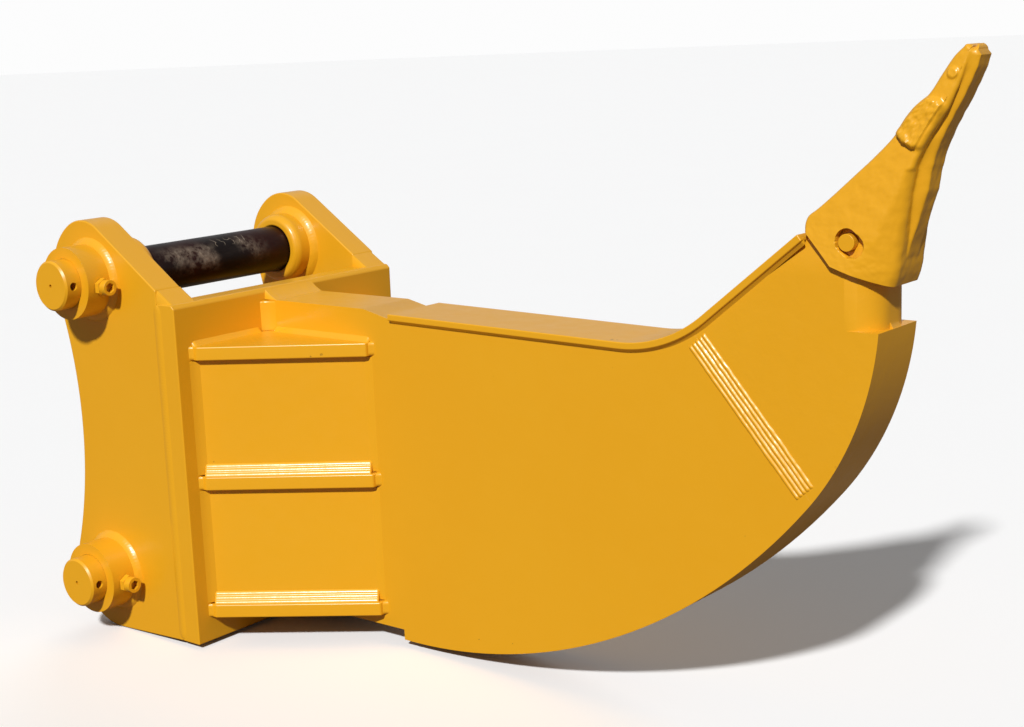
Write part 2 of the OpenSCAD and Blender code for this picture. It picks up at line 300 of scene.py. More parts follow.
def enamel(name, cast=0.0, chips=0.6, peel=1.0):
    """Painted steel, or painted casting where cast is above 0."""
    p = bpy.context.scene.ripper_paint
    m, t, s = new_material(name)
    n = place(t, bpy.data.node_groups["sprayed_enamel"], Paint=tuple(p.colour),
              Thin=tuple(p.faded), Grime=tuple(p.shade_and_chip_colour), Chips=chips,
              Roughness=p.rough, Peel=p.peel * peel)
    link(t, n.outputs["Color"], s.inputs["Base Color"])
    link(t, n.outputs["Roughness"], s.inputs["Roughness"])
    h = n.outputs["Height"]
    if cast:
        c = place(t, bpy.data.node_groups["cast_skin"], Strength=cast)
        h = maths(t, "ADD", h, c.outputs["Height"])
    bump(t, s, h, 0.0012)
    s.inputs["Specular IOR Level"].default_value = 0.45
    s.inputs["Coat Weight"].default_value = 0.22
    s.inputs["Coat Roughness"].default_value = 0.16
    return m


def pin_steel(name, centre, stub_y):
    """Bare dark steel between the ears, enamel on the ends that stand outside."""
    st, p = bpy.context.scene.ripper_steel, bpy.context.scene.ripper_paint
    m, t, s = new_material(name)
    coord = add(t, "ShaderNodeTexCoord").outputs["Object"]
    local = add(t, "ShaderNodeMapping")
    local.inputs["Location"].default_value = [-c for c in centre]
    link(t, coord, local.inputs["Vector"])
    at = local.outputs["Vector"]
    axes = add(t, "ShaderNodeSeparateXYZ")
    link(t, at, axes.inputs["Vector"])
    _, y, z = axes.outputs
    stretched = add(t, "ShaderNodeMapping")
    stretched.inputs["Scale"].default_value = (1, 0.25, 1)
    link(t, at, stretched.inputs["Vector"])
    red = ramp(t, texture(t, at, 9, 3), 0.42, 0.68, True)
    steel = mix(t, red, tuple(st.colour), tuple(st.rust))
    worn = ramp(t, texture(t, stretched.outputs["Vector"], 60, 5, 0.7), 0.5, 0.8)
    steel = mix(t, maths(t, "MULTIPLY", worn, 0.3), steel, (0.07, 0.05, 0.04))
    # chalk rubbed along the upper front of the bare length
    smear = ramp(t, texture(t, at, 30, 6, 0.72), 0.48, 0.72)
    broad = ramp(t, texture(t, at, 10, 2), 0.43, 0.58, True)
    upper = maths(t, "MULTIPLY", ramp(t, z, -0.022, 0.008, True), ramp(t, z, 0.039, 0.022, True))
    middle = maths(t, "MULTIPLY", ramp(t, y, -0.15, -0.10, True), ramp(t, y, 0.12, 0.05, True))
    rubbed = maths(t, "MULTIPLY", maths(t, "MULTIPLY", smear, broad),
                   maths(t, "MULTIPLY", upper, middle))
    steel = mix(t, maths(t, "MULTIPLY", rubbed, 0.85), steel, tuple(st.chalk))
    # a few short strokes of chalk along the top
    wave = add(t, "ShaderNodeTexWave", wave_type="BANDS", bands_direction="Y")
    wave.inputs["Scale"].default_value = 17
    wave.inputs["Distortion"].default_value = 9
    wave.inputs["Detail"].default_value = 2
    wave.inputs["Detail Scale"].default_value = 3
    link(t, at, wave.inputs["Vector"])
    stroke = ramp(t, wave.outputs["Fac"], 0.93, 0.99)
    strip = maths(t, "MULTIPLY", ramp(t, z, 0.024, 0.028), ramp(t, z, 0.037, 0.034))
    part = maths(t, "MULTIPLY", ramp(t, y, -0.02, -0.01), ramp(t, y, 0.075, 0.065))
    stroke = maths(t, "MULTIPLY", stroke, maths(t, "MULTIPLY", strip, part))
    steel = mix(t, maths(t, "MULTIPLY", stroke, 0.8), steel, tuple(st.chalk))
    painted = maths(t, "MAXIMUM", ramp(t, y, stub_y[0] + 0.0015, stub_y[0] - 0.0005),
                    ramp(t, y, stub_y[1] - 0.0015, stub_y[1] + 0.0005))
    n = place(t, bpy.data.node_groups["sprayed_enamel"], Paint=tuple(p.colour),
              Thin=tuple(p.faded), Grime=tuple(p.shade_and_chip_colour), Chips=0.8,
              Roughness=p.rough, Peel=p.peel * 1.6)
    link(t, mix(t, painted, steel, n.outputs["Color"]), s.inputs["Base Color"])
    dull = maths(t, "ADD", maths(t, "MULTIPLY", texture(t, at, 45, 4), 0.25),
                 maths(t, "MULTIPLY", rubbed, 0.35))
    bare = maths(t, "ADD", dull, 0.24)
    keep = maths(t, "SUBTRACT", 1.0, painted)
    rough = maths(t, "ADD", maths(t, "MULTIPLY", bare, keep),
                  maths(t, "MULTIPLY", n.outputs["Roughness"], painted))
    link(t, rough, s.inputs["Roughness"])
    link(t, maths(t, "MULTIPLY", maths(t, "MULTIPLY", keep, 0.75),
                  maths(t, "SUBTRACT", 1.0, rubbed)), s.inputs["Metallic"])
    turned = texture(t, stretched.outputs["Vector"], 500, 3)
    h = maths(t, "ADD", maths(t, "MULTIPLY", maths(t, "MULTIPLY", turned, 0.08), keep),
              maths(t, "MULTIPLY", n.outputs["Height"], painted))
    bump(t, s, h, 0.001)
    return m


# ---------------------------------------------------------------- mesh tools
SMOOTH_ANGLE = 40.0  # degrees; an edge sharper than this stays sharp


def finish_piece(bm, name, body, material):
    bmesh.ops.recalc_face_normals(bm, faces=bm.faces)
    me = bpy.data.meshes.new(name)
    bm.to_mesh(me)
    bm.free()
    for f in me.polygons:
        f.use_smooth = True
    me.set_sharp_from_angle(angle=math.radians(SMOOTH_ANGLE))
    ob = bpy.data.objects.new(name, me)
    bpy.context.scene.collection.objects.link(ob)
    me.materials.append(material)
    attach(ob, body)
    return ob


def wobble(p, scale, seed):
    """Smooth repeatable noise between -1 and 1."""
    return noise.noise(Vector(p) * scale + Vector((seed * 7.13, seed * 3.7, seed * 1.9)))


ROOT = 0.0008  # how far a bead's root is sunk into the joint


def weld_bead(bm, path, legs, size, passes=1, closed=False, seed=1, flat=False, crown=0.08,
              lane=0.0, ripple=1.0, blunt=False):
    """Adds one weld bead to bm.

    path is a list of points along the joint, legs a list of (a, b) unit vectors that run
    from the joint along each plate, and size the two leg lengths. Where flat is True, a
    and b point opposite ways along one face, and the third vector is that face's normal.
    crown is the bulge of the whole bead against its width, and lane the bulge of each of
    its side-by-side passes in metres. ripple scales the ripples and, up to 1, how uneven
    the bead is. seed picks its noise. A closed path ends where it starts; an open one has
    rounded ends, or nearly square ones where blunt is True."""
    w = bpy.context.scene.ripper_weld
    lengths = [0.0]
    for p, q in zip(path, path[1:]):
        lengths.append(lengths[-1] + (q - p).length)
    total = lengths[-1]
    n = max(12, min(700, int(total / (w.ripple / 3.5))))
    cross = 7 * passes + 3
    made = bmesh.ops.create_grid(bm, x_segments=n, y_segments=cross + 1, size=0.5)["verts"]
    made.sort(key=lambda v: (round(v.co.x, 6), round(v.co.y, 6)))
    per = cross + 2
    wide = max(size)
    rough = min(1.0, ripple)
    k = 0
    for i in range(n + 1):
        s = total * i / n
        while k < len(lengths) - 2 and lengths[k + 1] < s:
            k += 1
        f = (s - lengths[k]) / max(lengths[k + 1] - lengths[k], 1e-9)
        p = path[k].lerp(path[k + 1], f)
        la, lb = legs[k], legs[min(k + 1, len(legs) - 1)]
        a = la[0].lerp(lb[0], f).normalized()
        b = la[1].lerp(lb[1], f).normalized()
        out = la[2] if flat else (a * size[1] + b * size[0]).normalized()
        end = 1.0
        if not closed:
            reach = (0.12 if blunt else 0.85) * wide
            near = min(1.0, min(s, total - s) / reach)
            end = max(0.04, math.sqrt(max(0.0, 1 - (1 - near) ** 2)))
        swell = 1 + rough * (0.06 * wobble(p, 30, seed) + 0.04 * wobble(p, 95, seed + 2))
        for j in range(per):
            v = made[i * per + j]
            if j == cross + 1:
                v.co = p - out * ROOT
                continue
            t = j / cross
            drift = 0.10 * rough * wobble(p + a * 0.3, 42, seed + 9) / passes if passes > 1 else 0.0
            u = min(1.0, max(0.0, t + drift * math.sin(math.pi * t)))
            c = a * size[0] * (1 - t) + b * size[1] * t
            if flat:
                c = a * size[0] * (0.5 - t)
            run = (u * passes) % 1.0 if j < cross else 1.0
            arch = math.sin(math.pi * run)
            phase = s / w.ripple + 0.6 * (2 * run - 1) ** 2 + seed * 0.37 + int(u * passes) * 0.4
            wave = 0.5 + 0.5 * math.cos(2 * math.pi * phase)
            lane_lift = lane * arch * (1 + 0.35 * rough * wobble(p + c, 120, seed + 4))
            lift = crown * wide * math.sin(math.pi * t) + lane_lift
            lift += (ripple * w.ripple_depth * wave * (0.3 + 0.7 * arch)
                     * math.sin(math.pi * t) ** 0.5)
            edge = 1.0 + 0.035 * rough * wobble(p + c, 150, seed + 5)
            width = 1.0 if flat and blunt else end
            v.co = p + c * (edge * swell * width) + out * (lift * end * swell)
    rows = [made[i * per:(i + 1) * per] for i in range(n + 1)]
    for r, q in zip(rows, rows[1:]):
        bm.faces.new((r[0], r[-1], q[-1], q[0]))
    if closed:
        for r, q in zip(rows[0], rows[-1]):
            q.co = r.co
        bmesh.ops.remove_doubles(bm, verts=rows[0] + rows[-1], dist=1e-6)
    else:
        bm.faces.new(rows[0])
        bm.faces.new(list(reversed(rows[-1])))


def straight(a, b, la, lb, out=None):
    a, b = Vector(a) * MM, Vector(b) * MM
    leg = (Vector(la), Vector(lb)) + ((Vector(out),) if out else ())
    return [a, b], [leg, leg]


def bead(bm, a, b, legs, size, **look):
    """One straight bead from a to b, with every length in mm."""
    weld_bead(bm, *straight(a, b, *legs), tuple(s * MM for s in size), **look)


def ring(centre, r, y, toward):
    """Path and legs round a boss: one leg out along the ear, one along the boss."""
    n = 64
    path, legs = [], []
    for i in range(n + 1):
        t = 2 * math.pi * i / n
        d = Vector((math.cos(t), 0, math.sin(t)))
        path.append((Vector((centre[0], y, centre[1])) + d * r) * MM)
        legs.append((d, Vector((0, toward, 0))))
    return path, legs


# ---------------------------------------------------------------- sizes, in mm
def mm_box(node):
    lo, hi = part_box(node)
    return [c * 1000 for c in lo], [c * 1000 for c in hi]


PLATE_LO, PLATE_HI = mm_box("base_plate")
RIB_LO, RIB_HI = mm_box("rib_top_near")
EAR_LO, EAR_HI = mm_box("ear_near")
BOSS_LO, BOSS_HI = mm_box("boss_lower_near")
COLLAR_LO, COLLAR_HI = mm_box("collar_lower")
UP_LO, UP_HI = mm_box("upper_pin")
HALF_T = mm_box("shank")[1][1]
EAR_OUT, EAR_IN = -EAR_LO[1], -EAR_HI[1]
BOSS_R = (BOSS_HI[0] - BOSS_LO[0]) / 2
COLLAR_R = (COLLAR_HI[0] - COLLAR_LO[0]) / 2
HEAD_Z, UNDER_Z, LOW_SEAM_Z = 443.0, -71.0, -53  # shank top and underside; 1 mm under the lowest rib
SEAM_TOP, SEAM_FOOT = (1029, 0, 446), (1191, 0, 258)  # ends of the wide slanting weld
RIGHT, LEFT, UP, DOWN = (1, 0, 0), (-1, 0, 0), (0, 0, 1), (0, 0, -1)
LOWER = (0.0, 0.0)
UPPER = ((UP_LO[0] + UP_HI[0]) / 2, (UP_LO[2] + UP_HI[2]) / 2)


# ---------------------------------------------------------------- operators
class RIPPER_OT_materials(bpy.types.Operator):
    """Make the paint, casting and steel finishes"""
    bl_idname = "ripper.materials"
    bl_label = "Finishes"

    def execute(self, context):
        enamel_group()
        casting_group()
        enamel("enamel_plate")
        enamel("enamel_casting", cast=0.25, chips=0.3, peel=1.2)
        enamel("enamel_weld", chips=0.2, peel=0.6)
        enamel("enamel_small", chips=0.9, peel=1.4)
        stubs = (-EAR_OUT - 49, EAR_OUT - 1)
        for n, c in (("upper_pin", UPPER), ("lower_pin", LOWER)):
            pin_steel("steel_" + n, (c[0] * MM, 0, c[1] * MM), (stubs[0] * MM, stubs[1] * MM))
        return {"FINISHED"}


class RIPPER_OT_frame(bpy.types.Operator):
    """Give every machined and cut piece its finish and broken edges"""
    bl_idname = "ripper.frame"
    bl_label = "Plates, pins and fasteners"

    def execute(self, context):
        edge = {"ear": 2.2, "base": 2.0, "shank": 2.5, "nose": 3.0, "cap": 1.6, "rib": 2.2,
                "panel": 1.0, "collar": 1.8, "boss": 5.0, "keeper": 0.7, "upper": 0.6,
                "lower": 0.6, "tooth": 0.8}
        for name, ob in NODES.items():
            if name in PIN_NODES:
                mat = bpy.data.materials["steel_" + name]
            elif name in CAST_NODES:
                mat = bpy.data.materials["enamel_casting"]
            elif name.startswith(("keeper", "tooth_pin")):
                mat = bpy.data.materials["enamel_small"]
            else:
                mat = bpy.data.materials["enamel_plate"]
            ob.data.materials.clear()
            ob.data.materials.append(mat)
            weld = ob.modifiers.new("join", "WELD")
            weld.merge_threshold = 1e-5
            flat = ob.modifiers.new("flats", "DECIMATE")
            flat.decimate_type = "DISSOLVE"
            flat.angle_limit = math.radians(0.4)
            bev = ob.modifiers.new("edges", "BEVEL")
            bev.width = edge[name.split("_")[0]] * MM
            bev.segments = 3
            bev.limit_method = "ANGLE"
            bev.angle_limit = math.radians(28)
            bev.use_clamp_overlap = True
            even = ob.modifiers.new("even_normals", "WEIGHTED_NORMAL")
            even.mode = "FACE_AREA"
            even.weight = 100
            for f in ob.data.polygons:
                f.use_smooth = True
        return {"FINISHED"}


class RIPPER_OT_welds(bpy.types.Operator):
    """Lay the weld beads along the joints of the frame"""
    bl_idname = "ripper.welds"
    bl_label = "Weld beads"

    def execute(self, context):
        mat = bpy.data.materials["enamel_weld"]
        # retaining collars and inner bosses
        for name, c in (("upper", UPPER), ("lower", LOWER)):
            bm = bmesh.new()
            weld_bead(bm, *ring(c, COLLAR_R, -EAR_OUT, -1), (10 * MM, 8 * MM),
                      closed=True, seed=3, ripple=0.7)
            finish_piece(bm, "weld_collar_" + name, "frame", mat)
            bm = bmesh.new()
            for side in (-1, 1):
                weld_bead(bm, *ring(c, BOSS_R, side * EAR_IN, -side), (12 * MM, 10 * MM),
                          closed=True, seed=5 + side, ripple=0.6)
            finish_piece(bm, "weld_bosses_" + name, "frame", mat)
        # ears to base plate: a seam outside, a fillet inside, and a filled step on top
        x, z0, z1 = PLATE_LO[0], PLATE_LO[2], PLATE_HI[2]
        bm = bmesh.new()
        for s in (-1, 1):
            out, inward = (0, s, 0), (0, -s, 0)
            bead(bm, (x + 1, s * EAR_OUT, z0 + 3), (x + 1, s * EAR_OUT, z1 - 2),
                 (RIGHT, LEFT, out), (17, 17), flat=True, seed=7 + s, crown=0.07, ripple=0.8)
            bead(bm, (x, s * EAR_IN, z0 + 4), (x, s * EAR_IN, z1 - 2), (LEFT, inward),
                 (13, 13), passes=2, lane=0.0006, seed=11 + s)
            bead(bm, (x, s * (EAR_OUT - 1), z1), (x, s * (EAR_IN - 4), z1), (RIGHT, UP),
                 (32, 20.5), seed=12 + s, crown=0.0, ripple=0.1, blunt=True)
        finish_piece(bm, "weld_ears", "frame", mat)
        # shank to base plate: sides above and below the ribs, and across the top
        x = PLATE_HI[0]
        bm = bmesh.new()
        for s in (-1, 1):
            out = (0, s, 0)
            bead(bm, (x, s * HALF_T, RIB_HI[2] - 2), (x, s * HALF_T, HEAD_Z - 1), (RIGHT, out),
                 (22, 13), seed=13 + s, crown=-0.09, ripple=0.3, blunt=True)
            bead(bm, (x, s * HALF_T, UNDER_Z - 1), (x, s * HALF_T, LOW_SEAM_Z), (RIGHT, out),
                 (12, 12), seed=15 + s)
        bead(bm, (x, -HALF_T - 2, HEAD_Z), (x, HALF_T + 2, HEAD_Z), (RIGHT, UP),
             (24, 15), seed=17, crown=-0.05, ripple=0.5, blunt=True)
        bead(bm, (x, -HALF_T - 4, UNDER_Z), (x, HALF_T + 4, UNDER_Z), (RIGHT, DOWN),
             (13, 13), seed=18)
        finish_piece(bm, "weld_shank", "frame", mat)
        self.ribs(mat)
        self.seam(mat)
        self.cap(mat)
        return {"FINISHED"}

    def ribs(self, mat):
        x0, x1 = RIB_LO[0], RIB_HI[0]
        reach = -RIB_LO[1]
        panel = mm_box("panel_upper_near")
        wide, run = -panel[0][1], panel[1][0]
        slant = Vector((run - x0, wide - HALF_T, 0)).normalized()
        for s, label in ((-1, "near"), (1, "far")):
            along = Vector((slant.x, -s * slant.y, 0))
            out = Vector((slant.y, s * slant.x, 0))
            bm = bmesh.new()
            for k, name in enumerate(("top", "mid", "low")):
                lo, hi = mm_box(f"rib_{name}_{label}")
                if name != "top":
                    # three runs on the ledge between the panel and the rib's edge
                    back = 3 * slant.y / slant.x
                    bead(bm, (x0 + 3, s * (wide - back), hi[2]),
                         (run - 3, s * (HALF_T + back), hi[2]), (tuple(out), UP),
                         (11, 19), passes=3, seed=20 + k, crown=0.0, lane=0.0007,
                         ripple=0.12, blunt=True)
                else:
                    bead(bm, (x0, s * (HALF_T + 16), hi[2]), (x0, s * (reach - 2), hi[2]),
                         (RIGHT, UP), (8, 8), seed=21, crown=-0.05, ripple=0.3)
                    bead(bm, (x0 + 18, s * HALF_T, hi[2]), (x1 - 2, s * HALF_T, hi[2]),
                         ((0, s, 0), UP), (8, 8), seed=22, crown=-0.05, ripple=0.3)
                # end of the rib on the shank, and its foot on the base plate
                bead(bm, (x1, s * HALF_T, lo[2]), (x1, s * HALF_T, hi[2] + 1),
                     (RIGHT, (0, s, 0)), (7, 7), seed=26 + k, crown=-0.04, ripple=0.2)
                bead(bm, (x0, s * reach, lo[2]), (x0, s * reach, hi[2] + 1),
                     (RIGHT, (0, s, 0)), (6, 5), seed=29 + k, crown=-0.04, ripple=0.2)
            finish_piece(bm, "weld_ribs_" + label, "frame", mat)
            bm = bmesh.new()
            for k, name in enumerate(("upper", "lower")):
                lo, hi = mm_box(f"panel_{name}_{label}")
                z0, z1 = lo[2] + 1, hi[2] - 1
                bead(bm, (x0, s * wide, z0), (x0, s * wide, z1), (tuple(along), (0, s, 0)),
                     (8, 11), seed=33 + k, crown=-0.06, ripple=0.15, blunt=True)
                bead(bm, (run, s * HALF_T, z0), (run, s * HALF_T, z1), (tuple(-along), RIGHT),
                     (7, 7), seed=36 + k, crown=-0.02, ripple=0.3, blunt=True)
            finish_piece(bm, "weld_panels_" + label, "frame", mat)

    def seam(self, mat):
        """The wide seam of side-by-side runs between the shank and the cast nose."""
        w = bpy.context.scene.ripper_weld
        a, b = Vector(SEAM_TOP), Vector(SEAM_FOOT)
        d = (b - a).normalized()
        side = Vector((-d.z, 0, d.x))
        bm = bmesh.new()
        for s in (-1, 1):
            p, q = a.copy(), b.copy()
            p.y = q.y = s * (HALF_T - 0.2)
            weld_bead(bm, *straight(p, q, tuple(side), tuple(-side), (0, s, 0)),
                      (w.strip_w, w.strip_w), passes=5, flat=True, seed=40 + s, crown=0.012,
                      lane=0.0021, ripple=0.45, blunt=True)
        finish_piece(bm, "weld_nose_seam", "frame", mat)

    def cap(self, mat):
        """Small fillets under the edges of the cap plate and a run across its front end."""
        bm = bmesh.new()
        line = cap_underside()
        for s in (-1, 1):
            path = [Vector((x, s * HALF_T, z)) * MM for x, z in line]
            legs = []
            for i in range(len(path)):
                d = (path[min(i + 1, len(path) - 1)] - path[max(i - 1, 0)]).normalized()
                legs.append((Vector((d.z, 0, -d.x)), Vector((0, s, 0))))
            weld_bead(bm, path, legs, (5 * MM, 5 * MM), seed=50 + s, crown=-0.03, ripple=0.4)
        x, z = line[0]
        bead(bm, (x, -HALF_T + 1, z + 0.4), (x, HALF_T - 1, z + 0.4), (LEFT, UP),
             (14, 9), seed=53, crown=0.03, ripple=0.8)
        finish_piece(bm, "weld_cap", "frame", mat)


def cap_underside():
    """Points along the underside of the cap plate, front to back, in mm."""
    flat, rise, r = math.radians(-0.8), math.radians(38.5), 224.0
    bend = Vector((984.5, 422.9))
    mid = (flat + rise) / 2 + math.pi / 2
    c = bend + Vector((math.cos(mid), math.sin(mid))) * (r / math.cos((rise - flat) / 2))
    pts = [(476.0, 430.0)]
    n = 20
    for i in range(n + 1):
        t = flat + (rise - flat) * i / n - math.pi / 2
        pts.append((c.x + r * math.cos(t), c.y + r * math.sin(t)))
    pts.append((1191.0, 587.2))
    return pts


# Stations of the tooth from its skirt to its tip: front edge and back edge, in mm
TOOTH_ROWS = (((1192, 599), (1304, 532)), ((1192, 609), (1308, 543)), ((1196, 618), (1310.5, 553)),
              ((1209, 628), (1313, 572)), ((1232, 648), (1317, 600)), ((1255, 669), (1322, 630)),
              ((1278, 690), (1327, 658)), ((1302, 715), (1335, 688)), ((1322, 745), (1352, 721)),
              ((1344, 766), (1369, 749)), ((1358, 788), (1380, 772)), ((1371, 808), (1389, 793)),
              ((1383, 820), (1395.5, 810)))
SKIRT_EDGE = ((1192, 599), (1231, 557), (1290, 537), (1304, 532))
SPINE = ((565, 0), (585, 3), (600, 6), (612, 8), (634, 11), (650, 14), (669, 13), (681, 13),
         (708, 10), (744, 7), (771, 8), (796, 9), (811, 8), (822, 5))
PAD = ((1300, 722), (1309, 716), (1316, 709), (1328, 702), (1340, 700), (1347, 705), (1353, 719),
       (1358, 731), (1363, 743), (1366, 753), (1360, 760), (1344, 763), (1334, 762), (1320, 748))
BUTTON = (1373, 790)
RECESS = (1255, 586)
TOOTH_PIN = (1251, 587)
TIP_ROUND = 6.0  # rounding of the tooth's tip


def between(table, v):
    """Value of a table of (key, value) pairs at v, held past its ends."""
    if v <= table[0][0]:
        return table[0][1]
    for (a, p), (b, q) in zip(table, table[1:]):
        if v <= b:
            return p + (q - p) * (v - a) / (b - a)
    return table[-1][1]


def ease(v, low, high):
    v = min(1.0, max(0.0, (v - low) / (high - low)))
    return v * v * (3 - 2 * v)


def curve(points, f):
    """Smooth curve through evenly counted stations, f from 0 to 1."""
    n = len(points) - 1
    k = min(int(f * n), n - 1)
    t = f * n - k
    a, b, c, d = (points[min(max(k + i, 0), n)] for i in (-1, 0, 1, 2))
    return tuple(0.5 * (2 * q + (r - p) * t + (2 * p - 5 * q + 4 * r - s) * t * t
                        + (3 * q - p - 3 * r + s) * t ** 3)
                 for p, q, r, s in zip(a, b, c, d))


def inside_by(poly, x, z):
    """How far a point is inside an outline, below 0 outside."""
    best, inside = 1e9, False
    for (x0, z0), (x1, z1) in zip(poly, poly[1:] + poly[:1]):
        dx, dz = x1 - x0, z1 - z0
        t = min(1.0, max(0.0, ((x - x0) * dx + (z - z0) * dz) / (dx * dx + dz * dz)))
        best = min(best, math.hypot(x - x0 - t * dx, z - z0 - t * dz))
        if (z0 > z) != (z1 > z) and x < x0 + (z - z0) * dx / dz:
            inside = not inside
    return best if inside else -best


def tooth_half(x, z, back_x):
    """Half thickness of the tooth before its pad and button, in mm."""
    w = 66 - 47 * (z - 532) / 296
    d = back_x - x
    corner = between(((-20, 25), (0, 37), (12, 46), (26, 54), (45, 61), (64, 66), (90, 84)), d)
    corner += 2.0 * max(0.0, z - 675)
    k = 4.0
    h = max(0.0, 1 - abs(w - corner) / k)
    return min(w, corner) - h * h * k / 4


def side_relief(x, z, side, height, rough):
    """Pad, its rough top and the round button, in mm above the side."""
    d = inside_by(PAD, x, z)
    on = ease(d, -0.8, 3.4)
    lump = wobble((x, z, side * 40), 0.13, 3) * 1.7 + wobble((x, z, side * 40), 0.33, 4) * 1.1
    crease = math.exp(-((x - 1331 + 0.9 * (z - 738)) / 2.2) ** 2) * ease(z, 722, 730) * 1.6
    up = on * (height + 0.6 * math.sin((x + z) * 0.06)) + on * ease(d, 0.5, 4) * (lump - crease)
    r = math.hypot(x - BUTTON[0], z - BUTTON[1])
    up += 2.6 * ease(7.6 - r, 0, 2.2)
    at = (x, z, side * 90)
    return up + rough * (wobble(at, 0.075, 6) + 0.5 * wobble(at, 0.2, 7))


class RIPPER_OT_tooth(bpy.types.Operator):
    """Shape the cast tooth with its spine, pad, button and pin recesses"""
    bl_idname = "ripper.tooth"
    bl_label = "Tooth"

    def execute(self, context):
        st = context.scene.ripper_tooth
        pad, rough = st.pad / MM, st.rough_skin / MM
        rows, flat_n, side_n, arc_n, back_n, dome_n = st.rows, 8, 66, 5, 22, 6
        half = flat_n + arc_n + side_n + arc_n + back_n
        r_f, r_b = 5.0, 7.0  # rounding of the front and back edges
        bm = bmesh.new()
        verts = bmesh.ops.create_grid(
            bm, x_segments=rows + dome_n, y_segments=2 * half, size=0.5)["verts"]
        verts.sort(key=lambda v: (round(v.co.x, 6), round(v.co.y, 6)))
        per = 2 * half + 1
        front, back = [r[0] for r in TOOTH_ROWS], [r[1] for r in TOOTH_ROWS]
        back_line = sorted((z, x) for x, z in back)
        chord = Vector(SKIRT_EDGE[-1]) - Vector(SKIRT_EDGE[0])
        sag = []
        for q in SKIRT_EDGE:
            v = Vector(q) - Vector(SKIRT_EDGE[0])
            t = v.dot(chord) / chord.length_squared
            sag.append((t, tuple(v - chord * t)))
        for i in range(rows + dome_n + 1):
            dome = max(0, i - rows)
            f = min(i, rows) / rows
            a, b = Vector(curve(front, f)), Vector(curve(back, f))
            long = (b - a).length
            fade = (1 - ease(f, 0.0, 0.42))
            turn = dome / dome_n * math.pi / 2
            shrink = TIP_ROUND * (1 - math.cos(turn))
            rise = Vector((0.50, 0.86)) * TIP_ROUND * math.sin(turn)

            def spot(t):
                p = a.lerp(b, t / long)
                q = t / long
                p.x += fade * between([(k, v[0]) for k, v in sag], q)
                p.y += fade * between([(k, v[1]) for k, v in sag], q)
                return p

            loop = []
            for j in range(flat_n):
                loop.append((0.0, j / flat_n, "front"))
            for j in range(arc_n):
                loop.append((r_f * (1 - math.cos(j / arc_n * math.pi / 2)), j / arc_n, "arc_f"))
            for j in range(side_n):
                loop.append((r_f + (long - r_f - r_b) * j / side_n, 1.0, "side"))
            for j in range(arc_n):
                loop.append((long - r_b * (1 - math.sin(j / arc_n * math.pi / 2)), j / arc_n, "arc_b"))
            for j in range(back_n + 1):
                loop.append((long, j / back_n, "back"))
            points = []
            for t, v, kind in loop:
                p = spot(t)
                back_x = between(back_line, p.y)
                if kind == "front":
                    y = v * (tooth_half(p.x, p.y, back_x) - r_f)
                elif kind == "arc_f":
                    y = tooth_half(p.x, p.y, back_x) - r_f + r_f * math.sin(v * math.pi / 2)
                elif kind == "side":
                    y = tooth_half(p.x, p.y, back_x)
                elif kind == "arc_b":
                    y = tooth_half(p.x, p.y, back_x) - r_b + r_b * math.cos(v * math.pi / 2)
                else:
                    y = (1 - v) * (tooth_half(p.x, p.y, back_x) - r_b)
                points.append([p.x, y, p.y, kind])
            both = [(*q, -1) for q in points] + [(*q, 1) for q in reversed(points[:-1])]
            for v, (x, y, z, kind, side) in zip(verts[i * per:(i + 1) * per], both):
                if kind in ("side", "arc_f", "arc_b"):
                    weight = 1.0 if kind == "side" else 0.5
                    if dome == 0:
                        y += weight * side_relief(x, z, side, pad, rough)
                if kind in ("back", "arc_b"):
                    # the spine's flanks are steep by the pad and slope away below it
                    foot = 19.0 + 7.0 * ease(z, 590, 650) * (1 - ease(z, 700, 735))
                    stand = between(SPINE, z)
                    x += stand * (1 - ease(abs(y), 14.5, foot))
                    x -= 2.0 * ease(z, 700, 730) * math.exp(-((abs(y) - foot - 1) / 2.5) ** 2)
                    x += rough * wobble((x, y, z), 0.09, 8)
                if dome:
                    along = (Vector((x, z)) - a).dot((b - a).normalized())
                    held = min(max(along, shrink), long - shrink)
                    x, z = Vector((x, z)) + (b - a).normalized() * (held - along) + rise
                    y = max(0.0, y - shrink * 1.3)
                v.co = Vector((x, side * y, z)) * MM
        bmesh.ops.remove_doubles(bm, verts=bm.verts, dist=2e-6)
        rims = [e for e in bm.edges if e.is_boundary]
        bmesh.ops.holes_fill(bm, edges=rims, sides=0)
        bmesh.ops.recalc_face_normals(bm, faces=bm.faces)
        mouth = [f for f in bm.faces if len(f.verts) > 100 and f.calc_center_median().z < 0.6]
        lip = [e for e in bm.edges if any(f in mouth for f in e.link_faces)]
        bmesh.ops.bevel(bm, geom=lip, offset=0.0028, segments=3, profile=0.5, affect="EDGES",
                        material=-1, offset_type="OFFSET", clamp_overlap=True)
        bmesh.ops.triangulate(bm, faces=[f for f in bm.faces if len(f.verts) > 4])
        tooth = finish_piece(bm, "cast_tooth", "frame", bpy.data.materials["enamel_casting"])
        for cutter in (self.recesses(), self.pin_hole(), self.socket()):
            cut = tooth.modifiers.new("cut", "BOOLEAN")
            cut.operation = "DIFFERENCE"
            cut.solver = "EXACT"
            cut.object = cutter
        context.view_layer.update()
        graph = context.evaluated_depsgraph_get()
        shaped = bpy.data.meshes.new_from_object(tooth.evaluated_get(graph))
        cutters = [m.object for m in tooth.modifiers]
        tooth.modifiers.clear()
        tooth.data = shaped
        shaped.name = "cast_tooth"
        for c in cutters:
            bpy.data.objects.remove(c)
        for f in shaped.polygons:
            f.use_smooth = True
            f.material_index = 0
        shaped.materials.clear()
        shaped.materials.append(bpy.data.materials["enamel_casting"])
        shaped.set_sharp_from_angle(angle=math.radians(42))
        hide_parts("tooth")
        return {"FINISHED"}

